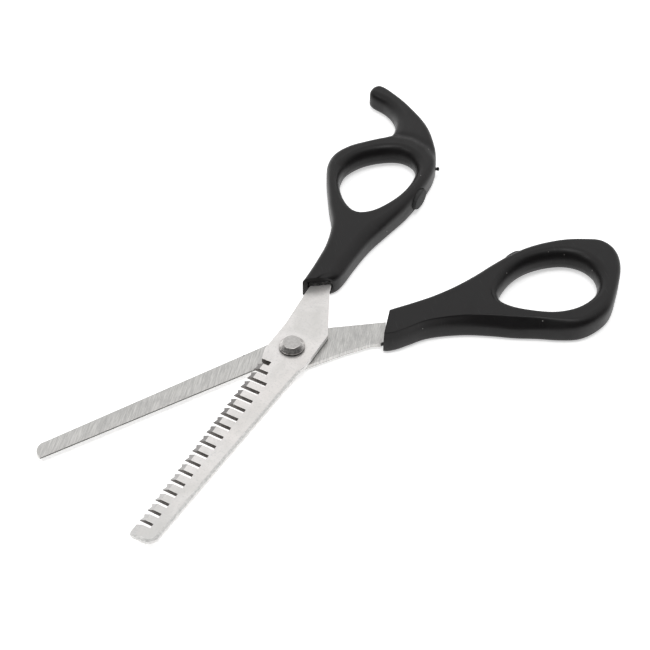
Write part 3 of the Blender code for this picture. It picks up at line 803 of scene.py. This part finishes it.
class Finish:
    """A Principled material that is put together in code."""

    def __init__(self, name, **sockets):
        self.material = bpy.data.materials.new(name)
        self.material.use_nodes = True
        self.tree = self.material.node_tree
        self.shader = self.tree.nodes["Principled BSDF"]
        for socket, value in sockets.items():
            self.shader.inputs[socket.replace("_", " ").title().replace("Ior", "IOR")].default_value = value
        self.place = self.node("ShaderNodeTexCoord", {}, {})["Object"]

    def node(self, kind, settings, values):
        """Adds a node, sets it, then fills its sockets with values or links, and returns its outputs."""
        made = self.tree.nodes.new(kind)
        for name, value in settings.items():
            setattr(made, name, value)
        for socket, value in values.items():
            if isinstance(value, Signal):
                self.tree.links.new(value.socket, made.inputs[socket])
            else:
                made.inputs[socket].default_value = value
        outputs = {}
        for number, output in enumerate(made.outputs):
            outputs[number] = Signal(self, output)
            if output.enabled:
                outputs[output.name] = outputs[number]
        return outputs

    def feed(self, socket, signal):
        self.tree.links.new(signal.socket, self.shader.inputs[socket])

    def rotated(self, turn):
        """Object coordinates turned by an angle in degrees about Z."""
        return self.node("ShaderNodeVectorRotate", {"rotation_type": "Z_AXIS"},
                         {"Vector": self.place, "Angle": -math.radians(turn)})[0]

    def along(self, turn):
        """Distance in metres from the pivot, measured against a direction in degrees."""
        return -1.0 * self.node("ShaderNodeSeparateXYZ", {}, {"Vector": self.rotated(turn)})[0]

    def flattened(self):
        """Object coordinates without their height."""
        values = {0: self.place, 1: (1, 1, 0)}
        return self.node("ShaderNodeVectorMath", {"operation": "MULTIPLY"}, values)[0]

    def lined_up(self, turn, sizes, shift=(0, 0, 0)):
        """Turned coordinates divided by a size in millimetres, or by one for each axis."""
        sizes = sizes if isinstance(sizes, tuple) else (sizes,) * 3
        scale = tuple(1 / (MM * size) for size in sizes)
        values = {"Vector": self.rotated(turn), "Location": shift, "Scale": scale}
        return self.node("ShaderNodeMapping", {}, values)[0]

    def noise(self, turn, sizes, detail=2.0, roughness=0.5, distortion=0.0, shift=(0, 0, 0)):
        return self.node("ShaderNodeTexNoise", {}, {
            "Vector": self.lined_up(turn, sizes, shift), "Scale": 1.0, "Detail": detail,
            "Roughness": roughness, "Distortion": distortion,
        })[0]

    def grains(self, turn, size):
        """Distance to the nearest of scattered points, and a random number for each."""
        out = self.node("ShaderNodeTexVoronoi", {}, {"Vector": self.lined_up(turn, size), "Scale": 1.0})
        return out["Distance"], self.node("ShaderNodeSeparateColor", {}, {0: out["Color"]})[0]

    def mixed(self, share, first, second):
        """Colour first where share is 0 and second where it is 1."""
        values = {0: share, 6: self.colour(first), 7: self.colour(second)}
        return self.node("ShaderNodeMix", {"data_type": "RGBA"}, values)[2]

    def colour(self, value):
        return value if isinstance(value, Signal) else (*value, 1.0)

    def painted(self, colour, roughness, *bump):
        """The material, with its colour and roughness and, where given, a bump's height and its scale in
        millimetres."""
        self.feed("Base Color", colour)
        self.feed("Roughness", roughness)
        if bump:
            values = {"Height": bump[0], "Distance": bump[1] * MM}
            self.feed("Normal", self.node("ShaderNodeBump", {}, values)[0])
        return self.material


def moulded_plastic(name, base, light):
    """Charcoal plastic with a fine spark-eroded grain, smudges, dust specks and rubbed scratches."""
    finish = Finish(name, specular_ior_level=0.31)
    cloud = finish.noise(0, 9, 3.0)
    smudge = finish.noise(20, (4, 11, 4), 4.0, 0.6).fade(0.45, 0.7)
    grain = finish.noise(0, 0.22, 2.0, 0.6)
    distance, pick = finish.grains(0, 3.4)
    dust = distance.fade(0.075, 0.03) * pick.fade(0.72, 0.76)
    pit_distance, pit_pick = finish.grains(31, 6.0)
    scuff_edge = finish.noise(0, 0.5, 2.0) * 0.22
    scuff = (pit_distance + scuff_edge).fade(0.24, 0.17) * pit_pick.fade(0.70, 0.74)
    rub = finish.noise(57, (0.12, 7, 3), 1.0).fade(0.70, 0.78)
    tone = finish.mixed(cloud, base, light)
    tone = finish.mixed(rub * 0.35, tone, (0.06, 0.06, 0.06))
    tone = finish.mixed(scuff * 0.8, tone, (0.004, 0.004, 0.004))
    return finish.painted(
        finish.mixed(dust * 0.8, tone, (0.30, 0.29, 0.28)),
        0.36 + smudge * 0.08 + cloud * 0.08 - rub * 0.06, grain + scuff * -2.0 + dust * 1.5, 0.010,
    )


def polished_steel():
    """Bright satin steel: faint cloudy mottling, fine crossing hairlines and painted shade near the tip."""
    finish = Finish("bright_satin_steel", metallic=0.65)
    cloud = finish.noise(15, (7, 9, 7), 5.0, 0.62, 0.4)
    warm = finish.noise(40, (16, 10, 10), 3.0, shift=(3, 1, 0))
    mottle = finish.noise(0, 0.7, 3.0, 0.6)
    speck = finish.noise(0, 0.33, 2.0, 0.5)
    hair = finish.noise(12, (0.10, 9, 9), 2.0)
    cross = finish.noise(-62, (0.12, 6, 6), 2.0).fade(0.64, 0.76)
    tone = finish.mixed(cloud.fade(0.3, 0.75), (0.87, 0.845, 0.83), (0.70, 0.685, 0.665))
    tone = finish.mixed(warm.fade(0.45, 0.7) * 0.5, tone, (0.87, 0.83, 0.805))
    tone = finish.mixed(mottle.fade(0.5, 0.72) * 0.6, tone, (0.64, 0.63, 0.62))
    tone = finish.mixed(speck.fade(0.55, 0.8) * 0.35, tone, (0.60, 0.59, 0.58))
    # Painted shade: the steel turns darker from 50 to 80 mm out towards the tip.
    tone = finish.mixed(finish.along(105).fade(0.050, 0.08) * 0.6, tone, (0.57, 0.57, 0.555))
    return finish.painted(
        finish.mixed(cross * 0.3, tone, (0.6, 0.6, 0.6)),
        0.27 + mottle * 0.10 + cloud * 0.06, hair + mottle * 0.8, 0.0012,
    )


def slot_walls():
    """The unpolished steel inside the stamped slots, painted near black for the shade in them."""
    finish = Finish("shaded_slot_steel", metallic=0.7)
    shade_mottle = finish.noise(15, (1.2, 1.2, 0.5), 4.0, 0.6)
    tone = finish.mixed(shade_mottle.fade(0.3, 0.7), (0.055, 0.047, 0.042), (0.12, 0.108, 0.10))
    # Painted shade: lighter from 1.5 to 5 mm out towards the slots' mouths, so darkest at their roots.
    outer = finish.along(15).fade(0.0015, 0.0050)
    return finish.painted(
        finish.mixed(outer * 0.7, tone, (0.24, 0.225, 0.215)),
        0.48 + shade_mottle * 0.2, shade_mottle, 0.02,
    )


def tooth_faces():
    """The ground faces at the teeth's ends: painted shade near the pivot, fading to lighter steel towards
    the tip.
    """
    finish = Finish("ground_tooth_steel", metallic=1.0)
    grain = finish.noise(105, (0.25, 4, 4), 3.0, 0.6)
    # Painted shade: dark near the pivot, turning to lighter steel from 30 to 70 mm out towards the tip.
    towards_tip = finish.along(105).fade(0.030, 0.070)
    tone = finish.mixed(towards_tip, (0.24, 0.23, 0.225), (0.70, 0.69, 0.68))
    return finish.painted(
        finish.mixed(grain.fade(0.4, 0.7) * 0.5, tone, (0.34, 0.33, 0.33)),
        0.32 + grain * 0.1,
    )


def ground_steel():
    """Steel ground across the blade: close parallel scratches, cloudy darker patches and a few nicks."""
    finish = Finish("ground_blade_steel", metallic=1.0)
    across = 32.0
    fine = finish.noise(across, (0.15, 4, 4), 2.0, 0.6)
    broad = finish.noise(across + 5, (0.45, 7, 7), 2.0, 0.5)
    cloud = finish.noise(0, 6, 4.0, 0.6, 0.5)
    speck = finish.noise(0, 0.45, 2.0, 0.6)
    distance, pick = finish.grains(0, 4.5)
    nick = distance.fade(0.085, 0.05) * pick.fade(0.80, 0.82)
    tone = finish.mixed(fine.fade(0.3, 0.7), (0.47, 0.465, 0.45), (0.70, 0.69, 0.67))
    tone = finish.mixed(broad.fade(0.42, 0.66) * 0.42, tone, (0.43, 0.425, 0.42))
    tone = finish.mixed(cloud.fade(0.46, 0.72) * 0.4, tone, (0.37, 0.365, 0.36))
    tone = finish.mixed(speck.fade(0.5, 0.7) * 0.3, tone, (0.68, 0.67, 0.66))
    return finish.painted(
        finish.mixed(nick * 0.85, tone, (0.05, 0.05, 0.05)),
        0.34 + cloud * 0.12, fine + broad * 0.6 - nick * 2.0, 0.004,
    )


def stamped_steel():
    """The dull sheared walls of the upper blade, and the chamfer along its spine."""
    finish = Finish("stamped_edge_steel", metallic=0.35)
    shear = finish.noise(15, (0.8, 0.8, 0.5), 3.0, 0.6)
    tone = finish.mixed(shear.fade(0.35, 0.65), (0.70, 0.69, 0.675), (0.90, 0.89, 0.87))
    return finish.painted(tone, 0.4 + shear * 0.15)


def edge_steel():
    """The dull land along the cutting edge, painted near black for the shade on it."""
    finish = Finish("cutting_edge_steel", metallic=0.9)
    # Painted shade: a mottled near-black tone.
    shade_mottle = finish.noise(75, (1.0, 2.5, 1.0), 3.0, 0.6)
    return finish.painted(finish.mixed(shade_mottle, (0.06, 0.058, 0.055), (0.20, 0.195, 0.19)), 0.4 + shade_mottle * 0.1)


def rivet_steel():
    """Mottled steel on the rivet's flat, and brighter streaked steel down its cone: painted reflections."""
    finish = Finish("rivet_head_steel", metallic=0.9)
    mottle = finish.noise(0, 0.55, 4.0, 0.65)
    reflection_streaks = finish.noise(8, (0.9, 0.9, 3.0), 3.0)
    radius = finish.node("ShaderNodeVectorMath", {"operation": "LENGTH"}, {0: finish.flattened()})["Value"]
    # Painted reflections: a darker tone on the flat, and on the cone a lighter one with dark streaks.
    flat = finish.mixed(mottle.fade(0.3, 0.7), (0.46, 0.447, 0.435), (0.58, 0.567, 0.553))
    cone = finish.mixed(reflection_streaks.fade(0.4, 0.62), (0.64, 0.62, 0.605), (0.38, 0.365, 0.355))
    flat_edge = 0.00245, 0.00255
    tone = finish.mixed(radius.fade(*flat_edge), flat, cone)
    return finish.painted(tone, 0.24 + mottle * 0.16, mottle, 0.006)


def washer_steel():
    """Steel painted nearly black, for the dark ring of shade under the rivet's head."""
    finish = Finish("shaded_washer_steel", metallic=0.8)
    shade_mottle = finish.noise(0, 0.7, 3.0)
    return finish.painted(
        finish.mixed(shade_mottle, (0.014, 0.013, 0.012), (0.05, 0.047, 0.045)),
        0.4 + shade_mottle * 0.2,
    )


def stop_rubber():
    """Dark grey rubber with a rough, slightly dusty face."""
    finish = Finish("stop_rubber", specular_ior_level=0.35)
    rough = finish.noise(0, 0.5, 4.0, 0.7)
    dust = finish.noise(0, (1.6, 1.6, 0.8), 3.0).fade(0.5, 0.8)
    tone = finish.mixed(rough, (0.018, 0.018, 0.018), (0.05, 0.05, 0.05))
    return finish.painted(
        finish.mixed(dust * 0.4, tone, (0.09, 0.09, 0.09)),
        0.62 + rough * 0.2, rough, 0.05,
    )


def set_resin():
    """Glossy black adhesive with small runs and bubbles."""
    finish = Finish("set_black_resin", specular_ior_level=0.55)
    lumps = finish.noise(10, (1.1, 1.1, 0.7), 2.0)
    return finish.painted(
        finish.mixed(lumps, (0.004, 0.004, 0.004), (0.012, 0.012, 0.012)),
        0.10 + lumps * 0.15, lumps, 0.12,
    )


# Assembly ----------------------------------------------------------------------------------------

def install(piece, body, node, slot, *finishes):
    """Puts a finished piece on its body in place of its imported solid."""
    for finish in finishes:
        piece.data.materials.append(finish)
    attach(piece, body)
    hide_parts(node)


def build_handle(which, side, make, mouth, tang, resin_sizes, socket, slot, tones, finishes):
    """Makes a handle, carves it for its tang, its adhesive and its stop, and installs it with the last two.
    make is the handle's own function, tang its tang's lowest and highest level, resin_sizes the adhesive's
    start and end along the end face and its height, and tones the plastic's two colours."""
    bottom, top = tang
    stop, seat = bumper(which, side)
    glue, pocket = resin(which, mouth, top, *resin_sizes, side)
    handle = make()
    room = block(which + "_socket", socket, bottom - SOCKET_GAP, top + SOCKET_GAP, side)
    carve(handle, [room, pocket, seat])
    plastic = moulded_plastic(which + "_handle_plastic", *tones)
    mouldings = [(handle, 35)] + ([(moulding_gate(), 40)] if which == "finger" else [])
    for piece, sharpest in mouldings:
        shade(piece, sharpest)
        install(piece, side, which + "_handle", slot, plastic)
    for piece, node, slot, finish in ((stop, "_bumper", "bumper_rubber", finishes[0]),
                                      (glue, "_tang_resin", "black_resin", finishes[1])):
        shade(piece, 60)
        install(piece, side, which + node, slot, finish)


def build_handles():
    finishes = stop_rubber(), set_resin()
    build_handle(
        "finger", "thinning_side", finger_handle, FINGER_MOUTH, (THINNING_BOTTOM, THINNING_TOP),
        (1.6, 8.2, 1.55),
        [(-8.2, 18.0), (-1.4, 18.0), (-1.4, 26.7), (-2.6, 30.0), (-3.0, 42.3), (-7.2, 42.3), (-8.0, 23.5)],
        "black_plastic", ((0.0050, 0.0043, 0.0045), (0.0072, 0.0062, 0.0065)), finishes,
    )
    build_handle(
        "thumb", "cutting_side", thumb_handle, THUMB_MOUTH, (CUTTING_BOTTOM, CUTTING_TOP),
        (2.2, 7.6, 1.8),
        [(5.0, 20.0), (11.1, 18.0), (11.1, 28.0), (10.6, 46.3), (6.1, 46.3), (5.4, 32.0)],
        "thumb_black_plastic", ((0.0046, 0.0040, 0.0042), (0.0068, 0.0059, 0.0062)), finishes,
    )


def build_blades():
    upper = thinning_blade()
    install(upper, "thinning_side", "thinning_blade", "polished_steel",
            polished_steel(), slot_walls(), tooth_faces(), stamped_steel())
    lower = cutting_blade()
    install(lower, "cutting_side", "cutting_blade", "ground_steel", ground_steel(), edge_steel())
    for blade, part in ((upper, part_of_thinning_blade), (lower, part_of_cutting_blade)):
        for face in blade.data.polygons:
            face.material_index = part(face)
        shade(blade, 20)
        soften_edges(blade, 0.05)


def closed_place(face, side):
    """A face's middle on the closed side, in millimetres, and its normal there."""
    turn = SIDE_ANGLE * SIDES[side]
    back = np.array([[math.cos(turn), math.sin(turn)], [-math.sin(turn), math.cos(turn)]])
    x, y = back @ np.array(face.center[:2]) / MM
    return x, y, face.center.z / MM, back @ np.array(face.normal[:2])


def part_of_thinning_blade(face):
    """0 for the polished faces, 1 for the slots' walls, 2 for the teeth's ground faces, and 3 for the other
    walls and the chamfer."""
    x, y, height, _ = closed_place(face, "thinning_side")
    index = round((FIRST_SLOT - y) / SLOT_PITCH)
    off_centre = abs(y - (FIRST_SLOT - SLOT_PITCH * index))
    upright = abs(face.normal.z) < 0.1
    if upright and 0 <= index < SLOT_COUNT and off_centre < SLOT_WIDTH / 2 + 0.3 and x < 1.2:
        return 1
    if upright:
        return 3
    if not 0.3 < face.normal.z < 0.99 or height > THINNING_TOP - 0.05:
        return 0
    return 2 if x < tooth_end(y) + TOOTH_BEVEL else 3


def part_of_cutting_blade(face):
    """1 for the upright land along the cutting edge, and 0 for everything else."""
    x, y, _, normal = closed_place(face, "cutting_side")
    return int(y < -10 and x > -2.5 and normal[0] > 0.5 and abs(face.normal.z) < 0.3)


def build_pivot():
    rivet = pivot_rivet()
    shade(rivet, 60)
    install(rivet, "cutting_side", "pivot_rivet", "rivet_steel", rivet_steel())
    washer = rivet_washer()
    shade(washer, 60)
    install(washer, "cutting_side", "rivet_washer", "washer_steel", washer_steel())


# Stage -------------------------------------------------------------------------------------------

def build_camera():
    """A long lens that looks down at 45 degrees from beyond the blades' side of the thumb handle."""
    data = bpy.data.cameras.new("camera")
    data.sensor_width = 36.0
    data.lens = 86.68
    camera = placed("camera", data)
    heading, distance = math.radians(43.3), 0.45362
    aim = Vector((0.00071, 0.0130, 0.0042))
    back = Vector((math.sin(heading), -math.cos(heading), 1.0)) * math.sqrt(0.5)
    camera.location = aim + back * distance
    camera.rotation_euler = (math.radians(45), 0, heading)
    bpy.context.scene.camera = camera


def softbox(name, place, size, watts):
    """A square light that faces the pivot."""
    data = bpy.data.lights.new(name, "AREA")
    data.size = size
    data.energy = watts
    light = placed(name, data)
    light.location = place
    light.rotation_euler = (-light.location).to_track_quat("-Z", "Y").to_euler()


def build_stage():
    size, level = 3.0, -0.00005         # just under the handles, so that no two faces share a plane
    mesh = bpy.data.meshes.new("table")
    corners = [(-size, -size), (size, -size), (size, size), (-size, size)]
    mesh.from_pydata([(x, y, level) for x, y in corners], [], [(0, 1, 2, 3)])
    table = placed("table", mesh)
    white = Finish("white_table", roughness=0.9, specular_ior_level=0.0, emission_strength=0.54)
    white.shader.inputs["Base Color"].default_value = (0.93, 0.93, 0.93, 1)
    white.shader.inputs["Emission Color"].default_value = (1, 1, 1, 1)
    mesh.materials.append(white.material)
    build_surroundings()
    softbox("overhead", (0.13, -0.03, 0.8), 0.3, 1.7)
    softbox("left", (-0.25, -0.48, 0.75), 0.3, 1.2)
    bpy.context.scene.view_settings.view_transform = "Standard"
    bpy.context.scene.view_settings.look = "None"


def build_surroundings():
    """A white studio that is dimmer on the camera's side."""
    world = bpy.data.worlds.new("studio")
    world.use_nodes = True
    nodes, links = world.node_tree.nodes, world.node_tree.links
    direction = nodes.new("ShaderNodeTexCoord").outputs["Generated"]
    facing = nodes.new("ShaderNodeVectorMath")
    facing.operation = "DOT_PRODUCT"
    facing.inputs[1].default_value = (-0.62, 0.66, 0.42)
    fading = nodes.new("ShaderNodeMapRange")
    fading.interpolation_type = "SMOOTHSTEP"
    # From these two values of the product, to these two strengths
    for number, value in enumerate((-0.05, 0.5, 0.05, 0.94), 1):
        fading.inputs[number].default_value = value
    links.new(direction, facing.inputs[0])
    links.new(facing.outputs["Value"], fading.inputs[0])
    links.new(fading.outputs[0], nodes["Background"].inputs["Strength"])
    nodes["Background"].inputs["Color"].default_value = (1.0, 1.0, 1.0, 1)
    bpy.context.scene.world = world


build_camera()
build_blades()
build_pivot()
build_handles()
build_stage()
